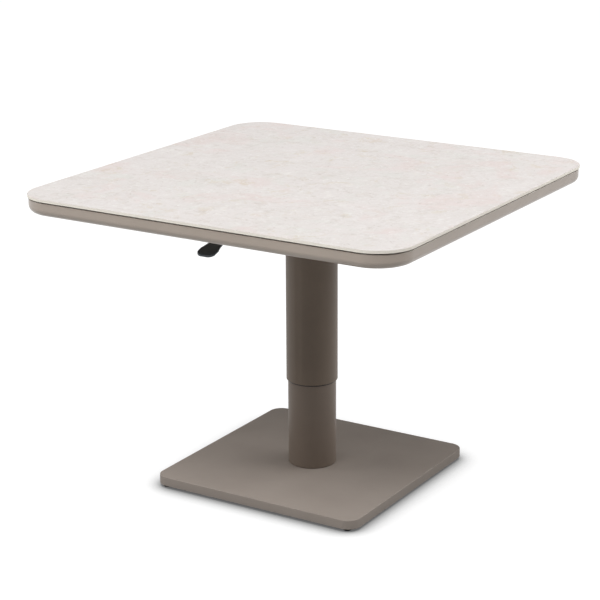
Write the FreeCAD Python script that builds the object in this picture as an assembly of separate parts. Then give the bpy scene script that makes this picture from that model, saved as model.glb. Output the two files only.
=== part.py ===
import FreeCAD, Part
import math
import os

# Square pedestal table on a two-tube telescoping column with a lockable gas spring.
# Millimetres, +Z up. The origin is on the floor under the middle of the column.
# The release lever points to -Y. The table is drawn fully raised.

# --- feet and base ---
foot_height = 6.0            # floor to the lower rim of the base cover
base_side = 504.0
base_height = 20.0
base_corner_radius = 30.0
base_edge_round = 2.0
cover_wall = 2.0
ballast_thickness = 8.0
ballast_gap = 2.0            # ballast plate to the inside of the cover's skirt
foot_inset_x = 23.0          # foot axis from the cover's left and right faces
foot_inset_y = 15.0          # foot axis from the cover's front and back faces
foot_radius = 8.0
foot_pad_height = 7.0
foot_pad_chamfer = 1.5
foot_stud_radius = 3.95
foot_stud_clearance = 0.05
foot_stud_floor = 3.0        # pad material left under the stud

# --- column ---
raised_reveal = 195.5        # inner tube showing between base and outer tube
outer_tube_radius = 56.5
outer_tube_wall = 1.5
outer_tube_length = 416.0
outer_tube_rim_round = 0.7
inner_tube_radius = 53.0
inner_tube_wall = 2.0
inner_tube_length = 385.0
flange_thickness = 10.0
slide_clearance = 0.08       # radial, between a guide and the tube that slides on it
lower_guide_length = 40.0
lower_guide_recess = 1.5     # guide's end face above the outer tube's rim
upper_guide_length = 40.0
upper_guide_lip = 3.0        # thickness of the lip over the inner tube's rim
key_width = 10.0
key_clearance = 0.25
key_glue_line = 0.1
key_top_margin = 30.0        # key rail's end below the head plate
key_side_clearance = 0.2

# --- base fasteners ---
base_bolt_circle = 35.0      # radius of the bolt circle
base_bolt_count = 4
base_bolt_radius = 5.0
base_bolt_across_flats = 16.0
base_bolt_head = 6.4
base_washer_radius = 10.0
base_washer_thickness = 2.0
bolt_hole_clearance = 0.5

# --- gas spring ---
stroke = 190.0
cylinder_radius = 20.0
cylinder_wall = 2.0
cylinder_base_disc = 4.0
cylinder_base_spigot = 10.0
cylinder_top_gap = 5.5       # cylinder top to the lock nut with the table fully down
stud_radius = 6.0
stud_below_ballast = 9.5
stud_nut_across_flats = 18.0
stud_nut_height = 7.0
gland_length = 14.0
rod_radius = 7.0
rod_clearance = 0.05
piston_length = 12.0
piston_clearance = 0.1
buffer_radius = 14.0
buffer_length = 13.5
buffer_gap = 0.5             # buffer to gland, fully raised
rod_tail = 6.0               # rod end below the piston
release_pin_radius = 2.5
release_pin_clearance = 0.05
release_pin_length = 50.0
release_pin_stand = 3.5      # pin above the rod's end at rest
pin_bore_floor = 6.0         # bore left empty under the pin, more than its travel

# --- release head and lever ---
head_width = 30.0            # along X
head_front = 34.0            # reach towards the lever
head_back = 20.0
head_height = 40.0
rod_engagement = 13.5        # rod's thread inside the release head
lever_slot_floor_gap = 0.5   # slot floor above the rod's end
lever_slot_roof = 3.5        # head material left above the slot
lever_thickness = 5.0
lever_side_clearance = 0.5
pivot_offset = 25.0          # pivot from the rod's axis
pivot_rise = 7.0             # pivot above the rod's end
pivot_pin_radius = 3.0
pivot_clearance = 0.05
pivot_boss_radius = 9.0
pivot_slot_margin = 3.0
nose_radius = 7.0
nose_gap = 0.3               # nose above the release pin
clip_thickness = 1.0
clip_radius = 6.0
pin_end = 2.0                # pin past each clip
arm_root_height = 14.0
arm_tip_height = 8.0
arm_tip_reach = 345.0        # from the rod's axis to the end of the arm
arm_drop = 2.0
tube_slot_width = 14.0
tube_slot_below = 14.0       # slot floor below the pivot
tube_slot_above = 14.0
lock_nut_across_flats = 22.0
lock_nut_height = 7.0
head_screw_radius = 2.5
head_screw_head_radius = 4.5
head_screw_head = 5.0
head_screw_depth = 12.0
head_screw_x = 10.0
head_screw_front = 14.0
head_screw_back = 14.0

# --- paddle ---
socket_length = 30.0
socket_width = 17.0
socket_height = 15.0
socket_wall_end = 4.0        # paddle material past the arm's end
blade_overlap = 4.0          # blade's root inside the socket
paddle_reach = 409.0         # from the rod's axis to the paddle's tip
paddle_neck_width = 22.0
paddle_width = 42.0
paddle_tip_drop = 18.0       # paddle's centre at the tip below the arm's end
paddle_root_thickness = 7.0
paddle_tip_thickness = 5.0
paddle_tip_round = 14.0
paddle_hollow = 1.5          # sag of the thumb face
rivet_radius = 2.0
rivet_head_radius = 3.5
rivet_head = 1.2
rivet_spacing = 14.0

# --- top ---
head_plate_thickness = 6.0
head_plate_x = 200.0
head_plate_corner = 15.0
bearer_width = 40.0
bearer_height = 20.0
bearer_wall = 2.0
bearer_spacing = 240.0       # between the two bearers' middles
bearer_end_gap = 0.5
head_bolt_spacing = 140.0    # along X
head_bolt_radius = 4.0
head_bolt_across_flats = 13.0
head_bolt_head = 5.3
head_washer_radius = 8.5
head_washer_thickness = 1.6
rivet_nut_radius = 6.0
rivet_nut_collar = 8.0
rivet_nut_length = 14.0
frame_wall = 2.0
frame_width = 24.0           # flange's reach in from the outer face
frame_drop = 1.5             # frame's lower face below the head plate
frame_bottom_round = 15.0
frame_top_round = 1.5
bearer_screw_radius = 2.5
bearer_screw_head_radius = 4.5
bearer_screw_head = 2.0
bearer_screw_length = 14.0
bearer_screw_spacing = 20.0
tape_thickness = 2.5
tape_width = 13.0
tape_inset = 5.0             # tape's edge in from the frame's outer face
pad_width = 30.0
pad_end_gap = 2.0
slab_side = 900.0
slab_thickness = 6.0
slab_corner_radius = 80.0
slab_overhang = 2.0          # slab's edge past the frame's outer face
slab_edge_round = 0.8

# --- levels ---
base_top = foot_height + base_height
ballast_top = base_top - cover_wall
ballast_bottom = ballast_top - ballast_thickness
flange_top = base_top + flange_thickness
inner_tube_top = base_top + inner_tube_length
outer_tube_bottom = base_top + raised_reveal
outer_tube_top = outer_tube_bottom + outer_tube_length
head_plate_bottom = outer_tube_top
bearer_bottom = head_plate_bottom + head_plate_thickness
bearer_top = bearer_bottom + bearer_height
frame_bottom = head_plate_bottom - frame_drop
frame_top = bearer_top + frame_wall
slab_bottom = frame_top + tape_thickness
slab_top = slab_bottom + slab_thickness

head_bottom = head_plate_bottom - head_height
rod_top = head_bottom + rod_engagement
pivot_z = rod_top + pivot_rise
pin_top = rod_top + release_pin_stand
nose_z = pin_top + nose_gap + nose_radius
lock_nut_bottom = head_bottom - lock_nut_height
cylinder_top = lock_nut_bottom - stroke - cylinder_top_gap
cylinder_bottom = flange_top + cylinder_base_disc
gland_bottom = cylinder_top - gland_length
piston_top = gland_bottom - buffer_gap - buffer_length
piston_bottom = piston_top - piston_length
arm_tip_z = pivot_z - arm_drop

# --- plan sizes ---
frame_side = slab_side - 2 * slab_overhang
frame_corner_radius = slab_corner_radius - slab_overhang
frame_opening = frame_side - 2 * frame_width
opening_corner_radius = frame_corner_radius - frame_width
foot_place_x = base_side / 2 - foot_inset_x
foot_place_y = base_side / 2 - foot_inset_y
outer_bore = outer_tube_radius - outer_tube_wall
inner_bore = inner_tube_radius - inner_tube_wall
cylinder_bore = cylinder_radius - cylinder_wall
head_plate_y = bearer_spacing + bearer_width


def vec(x, y, z):
    return FreeCAD.Vector(x, y, z)


def rod(radius, bottom, top, x=0.0, y=0.0):
    """Upright round bar."""
    return Part.makeCylinder(radius, top - bottom, vec(x, y, bottom))


def cross_rod(radius, x_from, x_to, y, z):
    """Round bar along X."""
    return Part.makeCylinder(radius, x_to - x_from, vec(x_from, y, z), vec(1, 0, 0))


def tube(outer, inner, bottom, top, x=0.0, y=0.0):
    """Upright pipe with an outer and an inner radius."""
    return rod(outer, bottom, top, x, y).cut(rod(inner, bottom, top, x, y))


def block(x_from, x_to, y_from, y_to, bottom, top):
    return Part.makeBox(x_to - x_from, y_to - y_from, top - bottom, vec(x_from, y_from, bottom))


def hex_bar(across_flats, bottom, top, x=0.0, y=0.0):
    """Upright hexagonal bar."""
    reach = across_flats / math.sqrt(3)
    angles = [math.radians(60 * n) for n in range(7)]
    corners = [vec(x + reach * math.cos(a), y + reach * math.sin(a), bottom) for a in angles]
    return Part.Face(Part.makePolygon(corners)).extrude(vec(0, 0, top - bottom))


def rounded_plate(size_x, size_y, radius, bottom, top):
    """Upright plate with rounded corners, centred on the column."""
    half_x = size_x / 2
    half_y = size_y / 2
    diagonal = radius * (1 - math.sqrt(0.5))
    edges = []
    for turn in range(4):
        # each turn draws one side and the corner after it
        reach, side = (half_x, half_y) if turn % 2 == 0 else (half_y, half_x)
        spin = FreeCAD.Rotation(vec(0, 0, 1), 90 * turn)
        start = spin.multVec(vec(reach, -side + radius, bottom))
        end = spin.multVec(vec(reach, side - radius, bottom))
        middle = spin.multVec(vec(reach - diagonal, side - diagonal, bottom))
        arc_end = spin.multVec(vec(reach - radius, side, bottom))
        edges.append(Part.makeLine(start, end))
        edges.append(Part.Arc(end, middle, arc_end).toShape())
    return Part.Face(Part.Wire(edges)).extrude(vec(0, 0, top - bottom))


def square_plate(side, radius, bottom, top):
    return rounded_plate(side, side, radius, bottom, top)


def edges_at(shape, height):
    """Edges that lie flat at one height."""
    def flat(edge):
        box = edge.BoundBox
        return abs(box.ZMin - height) < 1e-4 and abs(box.ZMax - height) < 1e-4
    return [edge for edge in shape.Edges if flat(edge)]


def mirrored_places(x, y):
    return [(x, y), (-x, y), (-x, -y), (x, -y)]


def circle_places(radius, count):
    angles = [2 * math.pi * (n + 0.5) / count for n in range(count)]
    return [(radius * math.cos(a), radius * math.sin(a)) for a in angles]


def drill(shape, radius, places, bottom, top):
    for x, y in places:
        shape = shape.cut(rod(radius, bottom, top, x, y))
    return shape


def save(name, pieces):
    shape = pieces[0] if len(pieces) == 1 else Part.makeCompound(pieces)
    shape.exportStep("parts/" + name + ".step")


base_bolt_places = circle_places(base_bolt_circle, base_bolt_count)
foot_places = mirrored_places(foot_place_x, foot_place_y)
head_bolt_places = mirrored_places(head_bolt_spacing / 2, bearer_spacing / 2)
head_screw_places = [(side * head_screw_x, y) for side in (1, -1) for y in (-head_screw_front, head_screw_back)]


# ---------- base ----------

def base_cover():
    shell = square_plate(base_side, base_corner_radius, foot_height, base_top)
    shell = shell.makeFillet(base_edge_round, edges_at(shell, base_top))
    pocket = square_plate(base_side - 2 * cover_wall, base_corner_radius - cover_wall, foot_height, ballast_top)
    shell = shell.cut(pocket)
    shell = drill(shell, base_bolt_radius + bolt_hole_clearance, base_bolt_places, ballast_top, base_top)
    return drill(shell, stud_radius + bolt_hole_clearance, [(0, 0)], ballast_top, base_top)


def ballast_plate():
    inset = cover_wall + ballast_gap
    plate = square_plate(base_side - 2 * inset, base_corner_radius - inset, ballast_bottom, ballast_top)
    plate = drill(plate, base_bolt_radius + bolt_hole_clearance, base_bolt_places, ballast_bottom, ballast_top)
    plate = drill(plate, stud_radius + bolt_hole_clearance, [(0, 0)], ballast_bottom, ballast_top)
    foot_thread = foot_stud_radius + foot_stud_clearance
    return drill(plate, foot_thread, foot_places, ballast_bottom, ballast_top)


def tube_foot_flange():
    disc = rod(inner_bore, base_top, flange_top)
    disc = drill(disc, base_bolt_radius, base_bolt_places, base_top, flange_top)
    return drill(disc, stud_radius + bolt_hole_clearance, [(0, 0)], base_top, flange_top)


def base_washers():
    top = ballast_bottom
    bottom = top - base_washer_thickness
    hole = base_bolt_radius + bolt_hole_clearance
    return [tube(base_washer_radius, hole, bottom, top, x, y) for x, y in base_bolt_places]


def base_bolts():
    head_top = ballast_bottom - base_washer_thickness
    bolts = []
    for x, y in base_bolt_places:
        head = hex_bar(base_bolt_across_flats, head_top - base_bolt_head, head_top, x, y)
        bolts.append(head.fuse(rod(base_bolt_radius, head_top, flange_top, x, y)))
    return bolts


def foot_pad(x, y):
    pad = rod(foot_radius, 0, foot_pad_height, x, y)
    pad = pad.makeChamfer(foot_pad_chamfer, edges_at(pad, foot_pad_height))
    return pad.cut(rod(foot_stud_radius, foot_stud_floor, foot_pad_height, x, y))


def foot_stud(x, y):
    return rod(foot_stud_radius, foot_stud_floor, ballast_top, x, y)


# ---------- column ----------

def inner_tube():
    return tube(inner_tube_radius, inner_bore, base_top, inner_tube_top)


def upper_guide():
    """Plastic sleeve on the head of the inner tube, grooved at the back for the key rail."""
    outside = outer_bore - slide_clearance
    top = inner_tube_top + upper_guide_lip
    bottom = inner_tube_top - upper_guide_length
    guide = tube(outside, inner_tube_radius, bottom, inner_tube_top)
    guide = guide.fuse(tube(outside, inner_bore, inner_tube_top, top))
    half = key_width / 2 + key_side_clearance
    groove = block(-half, half, 0, outer_bore, bottom, top)
    return guide.cut(groove.cut(rod(inner_tube_radius, bottom, top)))


def outer_tube():
    pipe = tube(outer_tube_radius, outer_bore, outer_tube_bottom, outer_tube_top)
    rim = [e for e in edges_at(pipe, outer_tube_bottom) if e.BoundBox.XLength > 2 * outer_bore + outer_tube_wall]
    pipe = pipe.makeFillet(outer_tube_rim_round, rim)
    half = tube_slot_width / 2
    slot = block(-half, half, -outer_tube_radius, 0, pivot_z - tube_slot_below, pivot_z + tube_slot_above)
    return pipe.cut(slot)


def lower_guide():
    bottom = outer_tube_bottom + lower_guide_recess
    return tube(outer_bore, inner_tube_radius + slide_clearance, bottom, bottom + lower_guide_length)


def key_rail():
    """Flat rail bonded inside the outer tube at the back. It keeps the top square to the base."""
    bottom = outer_tube_bottom + lower_guide_recess + lower_guide_length
    top = outer_tube_top - key_top_margin
    half = key_width / 2
    bar = block(-half, half, 0, outer_tube_radius, bottom, top)
    return bar.common(tube(outer_bore - key_glue_line, inner_tube_radius + key_clearance, bottom, top))


# ---------- gas spring ----------

def gas_cylinder():
    return tube(cylinder_radius, cylinder_bore, cylinder_bottom, cylinder_top)


def cylinder_base():
    disc = rod(cylinder_radius, flange_top, cylinder_bottom)
    spigot = rod(cylinder_bore, cylinder_bottom, cylinder_bottom + cylinder_base_spigot)
    stud = rod(stud_radius, ballast_bottom - stud_below_ballast, flange_top)
    return disc.fuse(spigot).fuse(stud)


def stud_washer():
    top = ballast_bottom
    return tube(base_washer_radius, stud_radius, top - base_washer_thickness, top)


def stud_nut():
    top = ballast_bottom - base_washer_thickness
    bottom = top - stud_nut_height
    return hex_bar(stud_nut_across_flats, bottom, top).cut(rod(stud_radius, bottom, top))


def gland():
    return tube(cylinder_bore, rod_radius + rod_clearance, gland_bottom, cylinder_top)


def gas_rod():
    bar = rod(rod_radius, piston_bottom - rod_tail, rod_top)
    bore_bottom = pin_top - release_pin_length - pin_bore_floor
    return bar.cut(rod(release_pin_radius + release_pin_clearance, bore_bottom, rod_top))


def piston():
    return tube(cylinder_bore - piston_clearance, rod_radius, piston_bottom, piston_top)


def rebound_buffer():
    return tube(buffer_radius, rod_radius, piston_top, piston_top + buffer_length)


def release_pin():
    return rod(release_pin_radius, pin_top - release_pin_length, pin_top)


# ---------- release head and lever ----------

def release_head():
    half = head_width / 2
    body = block(-half, half, -head_front, head_back, head_bottom, head_plate_bottom)
    body = body.cut(rod(rod_radius, head_bottom, rod_top))
    slot = lever_thickness / 2 + lever_side_clearance
    slot_top = head_plate_bottom - lever_slot_roof
    nose_room = nose_radius + pivot_slot_margin
    body = body.cut(block(-slot, slot, -head_front, nose_room, rod_top + lever_slot_floor_gap, slot_top))
    boss_room = pivot_boss_radius + pivot_slot_margin
    body = body.cut(block(-slot, slot, -head_front, boss_room - pivot_offset, pivot_z - boss_room, slot_top))
    rod_mouth = rod(rod_radius, rod_top, rod_top + lever_slot_floor_gap)
    body = body.cut(rod_mouth).cut(cross_rod(pivot_pin_radius, -half, half, -pivot_offset, pivot_z))
    thread_bottom = head_plate_bottom - head_screw_depth
    return drill(body, head_screw_radius, head_screw_places, thread_bottom, head_plate_bottom)


def head_screws():
    screws = []
    for x, y in head_screw_places:
        shank = rod(head_screw_radius, head_plate_bottom - head_screw_depth, bearer_bottom, x, y)
        cap = rod(head_screw_head_radius, bearer_bottom, bearer_bottom + head_screw_head, x, y)
        screws.append(shank.fuse(cap))
    return screws


def rod_lock_nut():
    nut = hex_bar(lock_nut_across_flats, lock_nut_bottom, head_bottom)
    return nut.cut(rod(rod_radius, lock_nut_bottom, head_bottom))


def pivot_pin():
    reach = head_width / 2 + clip_thickness + pin_end
    return cross_rod(pivot_pin_radius, -reach, reach, -pivot_offset, pivot_z)


def pivot_clips():
    inside = head_width / 2
    clips = []
    for start in (inside, -inside - clip_thickness):
        disc = cross_rod(clip_radius, start, start + clip_thickness, -pivot_offset, pivot_z)
        clips.append(disc.cut(cross_rod(pivot_pin_radius, start, start + clip_thickness, -pivot_offset, pivot_z)))
    return clips


def side_cut(points, width):
    """Plate cut to an outline of (y, z) points, centred on X = 0."""
    corners = [vec(-width / 2, y, z) for y, z in points]
    return Part.Face(Part.makePolygon(corners + corners[:1])).extrude(vec(width, 0, 0))


def lever_plate():
    half = lever_thickness / 2
    boss = cross_rod(pivot_boss_radius, -half, half, -pivot_offset, pivot_z)
    nose = cross_rod(nose_radius, -half, half, 0, nose_z)
    root = arm_root_height / 2
    tip = arm_tip_height / 2
    arm = side_cut([(-pivot_offset, pivot_z - root), (-pivot_offset, pivot_z + root),
                    (-arm_tip_reach, arm_tip_z + tip), (-arm_tip_reach, arm_tip_z - tip)], lever_thickness)
    web = side_cut([(-pivot_offset, pivot_z - root / 2), (-pivot_offset, pivot_z + pivot_boss_radius),
                    (0, nose_z + nose_radius), (0, nose_z - nose_radius / 2)], lever_thickness)
    plate = boss.fuse([nose, arm, web]).removeSplitter()
    plate = plate.cut(cross_rod(pivot_pin_radius + pivot_clearance, -half, half, -pivot_offset, pivot_z))
    for y in rivet_rows():
        plate = plate.cut(cross_rod(rivet_radius, -half, half, y, arm_height_at(y)))
    return plate


def arm_height_at(y):
    """Height of the arm's middle line."""
    share = (-y - pivot_offset) / (arm_tip_reach - pivot_offset)
    return pivot_z - arm_drop * share


def rivet_rows():
    middle = -arm_tip_reach + (socket_length - socket_wall_end) / 2
    return [middle - rivet_spacing / 2, middle + rivet_spacing / 2]


def paddle_outline():
    """Plan of the blade: a neck that widens to a round-cornered tip."""
    neck = paddle_neck_width / 2
    half = paddle_width / 2
    root_y = -arm_tip_reach - socket_wall_end + blade_overlap
    wide_y = -paddle_reach + paddle_tip_round
    corner = paddle_tip_round * (1 - math.sqrt(0.5))
    low = vec(half, wide_y, 0)
    low_middle = vec(half - corner, -paddle_reach + corner, 0)
    low_end = vec(half - paddle_tip_round, -paddle_reach, 0)
    flip = FreeCAD.Matrix(-1, 0, 0, 0, 0, 1, 0, 0, 0, 0, 1, 0, 0, 0, 0, 1)
    right = [Part.makeLine(vec(0, root_y, 0), vec(neck, root_y, 0)), Part.makeLine(vec(neck, root_y, 0), low),
             Part.Arc(low, low_middle, low_end).toShape(), Part.makeLine(low_end, vec(0, -paddle_reach, 0))]
    left = [edge.transformGeometry(flip) for edge in right]
    return Part.Face(Part.Wire(Part.__sortEdges__(right + left)))


def lever_paddle():
    """Moulded handle: a socket on the arm's end and a blade that slopes down to the tip."""
    root_y = -arm_tip_reach - socket_wall_end + blade_overlap
    tip_z = arm_tip_z - paddle_tip_drop
    root = paddle_root_thickness / 2
    tip = paddle_tip_thickness / 2
    middle_y = (root_y - paddle_reach) / 2
    middle_z = (arm_tip_z + tip_z) / 2
    reach = paddle_width
    top_root = vec(-reach, root_y, arm_tip_z + root)
    top_middle = vec(-reach, middle_y, middle_z + (root + tip) / 2 - paddle_hollow)
    top_tip = vec(-reach, -paddle_reach, tip_z + tip)
    low_tip = vec(-reach, -paddle_reach, tip_z - tip)
    low_middle = vec(-reach, middle_y, middle_z - (root + tip) / 2 - paddle_hollow)
    low_root = vec(-reach, root_y, arm_tip_z - root)
    side = Part.Wire([Part.Arc(top_root, top_middle, top_tip).toShape(), Part.makeLine(top_tip, low_tip),
                      Part.Arc(low_tip, low_middle, low_root).toShape(), Part.makeLine(low_root, top_root)])
    slice_ = Part.Face(side).extrude(vec(2 * reach, 0, 0))
    plan = paddle_outline()
    plan.translate(vec(0, 0, tip_z - 2 * paddle_root_thickness))
    blade = slice_.common(plan.extrude(vec(0, 0, paddle_tip_drop + 4 * paddle_root_thickness)))
    end_y = -arm_tip_reach - socket_wall_end
    half = socket_width / 2
    low = arm_tip_z - socket_height / 2
    socket = block(-half, half, end_y, end_y + socket_length, low, low + socket_height)
    handle = socket.fuse(blade).removeSplitter()
    handle = handle.cut(lever_plate())
    for y in rivet_rows():
        handle = handle.cut(cross_rod(rivet_radius, -half, half, y, arm_height_at(y)))
    return handle


def paddle_rivets():
    half = socket_width / 2
    rivets = []
    for y in rivet_rows():
        z = arm_height_at(y)
        shank = cross_rod(rivet_radius, -half, half, y, z)
        heads = [cross_rod(rivet_head_radius, start, start + rivet_head, y, z) for start in (half, -half - rivet_head)]
        rivets.append(shank.fuse(heads))
    return rivets


# ---------- top ----------

def head_plate():
    plate = rounded_plate(head_plate_x, head_plate_y, head_plate_corner, head_plate_bottom, bearer_bottom)
    bolt_hole = head_bolt_radius + bolt_hole_clearance
    plate = drill(plate, bolt_hole, head_bolt_places, head_plate_bottom, bearer_bottom)
    return drill(plate, head_screw_radius, head_screw_places, head_plate_bottom, bearer_bottom)


def head_washers():
    bottom = head_plate_bottom - head_washer_thickness
    hole = head_bolt_radius + bolt_hole_clearance
    return [tube(head_washer_radius, hole, bottom, head_plate_bottom, x, y) for x, y in head_bolt_places]


def head_bolts():
    head_top = head_plate_bottom - head_washer_thickness
    bolts = []
    for x, y in head_bolt_places:
        head = hex_bar(head_bolt_across_flats, head_top - head_bolt_head, head_top, x, y)
        bolts.append(head.fuse(rod(head_bolt_radius, head_top, bearer_bottom + rivet_nut_length, x, y)))
    return bolts


def rivet_nuts():
    nuts = []
    for x, y in head_bolt_places:
        top = bearer_bottom + rivet_nut_length
        sleeve = rod(rivet_nut_radius, bearer_bottom, top, x, y)
        collar = rod(rivet_nut_collar, bearer_bottom + bearer_wall, bearer_bottom + 2 * bearer_wall, x, y)
        nuts.append(sleeve.fuse(collar).cut(rod(head_bolt_radius, bearer_bottom, top, x, y)))
    return nuts


def bearer_half_length():
    """The bearer's end stops where its lower edge would meet the frame's rounded wall."""
    inner_round = frame_bottom_round - frame_wall
    rise = max(frame_bottom + frame_bottom_round - bearer_bottom, 0)
    inset = inner_round - math.sqrt(max(inner_round ** 2 - rise ** 2, 0))
    return frame_side / 2 - frame_wall - inset - bearer_end_gap


def bearer_screw_places(side):
    x = (frame_opening / 2 + bearer_half_length()) / 2
    rows = [side * bearer_spacing / 2 + step for step in (-bearer_screw_spacing / 2, bearer_screw_spacing / 2)]
    return [(end * x, y) for end in (1, -1) for y in rows]


def bearer(side):
    """Rectangular tube across the frame. side is -1 at the front and 1 at the back."""
    reach = bearer_half_length()
    y = side * bearer_spacing / 2
    half = bearer_width / 2
    inside = half - bearer_wall
    pipe = block(-reach, reach, y - half, y + half, bearer_bottom, bearer_top)
    pipe = pipe.cut(block(-reach, reach, y - inside, y + inside, bearer_bottom + bearer_wall, bearer_top - bearer_wall))
    nut_places = [(end * head_bolt_spacing / 2, y) for end in (1, -1)]
    pipe = drill(pipe, rivet_nut_radius, nut_places, bearer_bottom, bearer_bottom + bearer_wall)
    return drill(pipe, bearer_screw_radius, bearer_screw_places(side), bearer_top - bearer_wall, bearer_top)


def all_bearer_screw_places():
    return bearer_screw_places(-1) + bearer_screw_places(1)


def countersunk_screw(x, y):
    cone_bottom = frame_top - bearer_screw_head
    cone = Part.makeCone(bearer_screw_radius, bearer_screw_head_radius, bearer_screw_head, vec(x, y, cone_bottom))
    return cone.fuse(rod(bearer_screw_radius, frame_top - bearer_screw_length, cone_bottom, x, y))


def bearer_screws():
    return [countersunk_screw(x, y) for x, y in all_bearer_screw_places()]


def edge_frame():
    """Channel with its open side inwards: top flange, outer wall, round lower edge and an upturned lip."""
    outside = square_plate(frame_side, frame_corner_radius, frame_bottom, frame_top)
    outside = outside.makeFillet(frame_bottom_round, edges_at(outside, frame_bottom))
    outside = outside.makeFillet(frame_top_round, edges_at(outside, frame_top))
    cavity = square_plate(frame_side - 2 * frame_wall, frame_corner_radius - frame_wall,
                          frame_bottom + frame_wall, frame_top - frame_wall)
    cavity = cavity.makeFillet(frame_bottom_round - frame_wall, edges_at(cavity, frame_bottom + frame_wall))
    lip = square_plate(frame_opening + 2 * frame_wall, opening_corner_radius + frame_wall, frame_bottom, bearer_bottom)
    opening = square_plate(frame_opening, opening_corner_radius, frame_bottom, frame_top)
    frame = outside.cut(cavity.cut(lip)).cut(opening)
    for x, y in all_bearer_screw_places():
        frame = frame.cut(countersunk_screw(x, y))
    return frame


def slab_tape():
    side = frame_side - 2 * tape_inset
    radius = frame_corner_radius - tape_inset
    ring = square_plate(side, radius, frame_top, slab_bottom)
    return ring.cut(square_plate(side - 2 * tape_width, radius - tape_width, frame_top, slab_bottom))


def bearer_pads():
    reach = frame_opening / 2 - pad_end_gap
    half = pad_width / 2
    middles = (-bearer_spacing / 2, bearer_spacing / 2)
    return [block(-reach, reach, y - half, y + half, bearer_top, slab_bottom) for y in middles]


def slab():
    panel = square_plate(slab_side, slab_corner_radius, slab_bottom, slab_top)
    return panel.makeFillet(slab_edge_round, edges_at(panel, slab_top) + edges_at(panel, slab_bottom))


os.makedirs("parts", exist_ok=True)

for corner, (foot_x, foot_y) in zip(("back_right", "back_left", "front_left", "front_right"), foot_places):
    save("foot_pad_" + corner, [foot_pad(foot_x, foot_y)])
    save("foot_stud_" + corner, [foot_stud(foot_x, foot_y)])

save("base_cover", [base_cover()])
save("ballast_plate", [ballast_plate()])
save("tube_foot_flange", [tube_foot_flange()])
save("base_washers", base_washers())
save("base_bolts", base_bolts())
save("inner_tube", [inner_tube()])
save("upper_guide", [upper_guide()])
save("gas_cylinder", [gas_cylinder()])
save("cylinder_base", [cylinder_base()])
save("stud_washer", [stud_washer()])
save("stud_nut", [stud_nut()])
save("gland", [gland()])

save("outer_tube", [outer_tube()])
save("lower_guide", [lower_guide()])
save("key_rail", [key_rail()])
save("gas_rod", [gas_rod()])
save("piston", [piston()])
save("rebound_buffer", [rebound_buffer()])
save("release_head", [release_head()])
save("head_screws", head_screws())
save("rod_lock_nut", [rod_lock_nut()])
save("pivot_pin", [pivot_pin()])
save("pivot_clips", pivot_clips())
save("release_pin", [release_pin()])
save("lever_plate", [lever_plate()])
save("lever_paddle", [lever_paddle()])
save("paddle_rivets", paddle_rivets())

save("head_plate", [head_plate()])
save("head_washers", head_washers())
save("head_bolts", head_bolts())
save("rivet_nuts", rivet_nuts())
save("front_bearer", [bearer(-1)])
save("rear_bearer", [bearer(1)])
save("bearer_screws", bearer_screws())
save("edge_frame", [edge_frame()])
save("slab_tape", [slab_tape()])
save("bearer_pads", bearer_pads())
save("slab", [slab()])

print("table height", slab_top, "pivot", pivot_z, "frame bottom", frame_bottom)
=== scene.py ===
import math

import bmesh
import bpy
from mathutils import Matrix, Vector


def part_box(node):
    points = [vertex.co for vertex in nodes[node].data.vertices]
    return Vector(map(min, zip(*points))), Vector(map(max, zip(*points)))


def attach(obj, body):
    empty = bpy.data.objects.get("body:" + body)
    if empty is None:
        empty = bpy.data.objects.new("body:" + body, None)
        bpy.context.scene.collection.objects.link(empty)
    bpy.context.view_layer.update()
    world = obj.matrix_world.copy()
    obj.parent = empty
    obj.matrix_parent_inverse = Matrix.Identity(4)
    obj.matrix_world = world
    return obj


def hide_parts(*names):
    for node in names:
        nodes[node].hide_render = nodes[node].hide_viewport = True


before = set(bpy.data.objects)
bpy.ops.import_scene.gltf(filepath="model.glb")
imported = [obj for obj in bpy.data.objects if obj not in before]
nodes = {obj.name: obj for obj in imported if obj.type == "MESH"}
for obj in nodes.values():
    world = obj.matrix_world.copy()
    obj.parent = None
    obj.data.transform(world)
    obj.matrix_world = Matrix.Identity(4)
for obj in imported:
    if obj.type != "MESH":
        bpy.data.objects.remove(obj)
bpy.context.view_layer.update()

mm = 0.001
print("frame loaded,", len(nodes), "nodes")


# small helpers

mixShare, mixFirst, mixSecond, mixColour = 0, 6, 7, 2      # sockets of a Mix node that mixes colours


def hexColour(text):
    # sRGB hex to the linear colour that a shader socket takes
    def linear(c):
        return c / 12.92 if c <= 0.04045 else ((c + 0.055) / 1.055) ** 2.4
    return tuple(linear(int(text[i:i + 2], 16) / 255) for i in (1, 3, 5)) + (1.0,)


def addNode(tree, kind, settings=None, links=None):
    # Settings are the node's own properties or the values of its sockets. Links feed a socket from another
    # node's first output, or from the output given. A socket goes by its name, or by its number.
    node = tree.nodes.new(kind)
    for key, value in (settings or {}).items():
        if isinstance(key, str) and key in node.bl_rna.properties:
            setattr(node, key, value)
        else:
            node.inputs[key].default_value = value
    for key, source in (links or {}).items():
        output = source.outputs[0] if hasattr(source, "outputs") else source
        tree.links.new(output, node.inputs[key])
    return node


def startMaterial(name, surface):
    # surface holds the shader's sockets that are the same all over
    material = bpy.data.materials.new(name)
    material.use_nodes = True
    tree = material.node_tree
    tree.nodes.clear()
    shader = addNode(tree, "ShaderNodeBsdfPrincipled", surface)
    addNode(tree, "ShaderNodeOutputMaterial", links={"Surface": shader})
    place = addNode(tree, "ShaderNodeTexCoord").outputs["Object"]
    return material, tree, shader, place


def perMetre(size):
    # texture scale for features this many millimetres apart
    return 1000.0 / size


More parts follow.
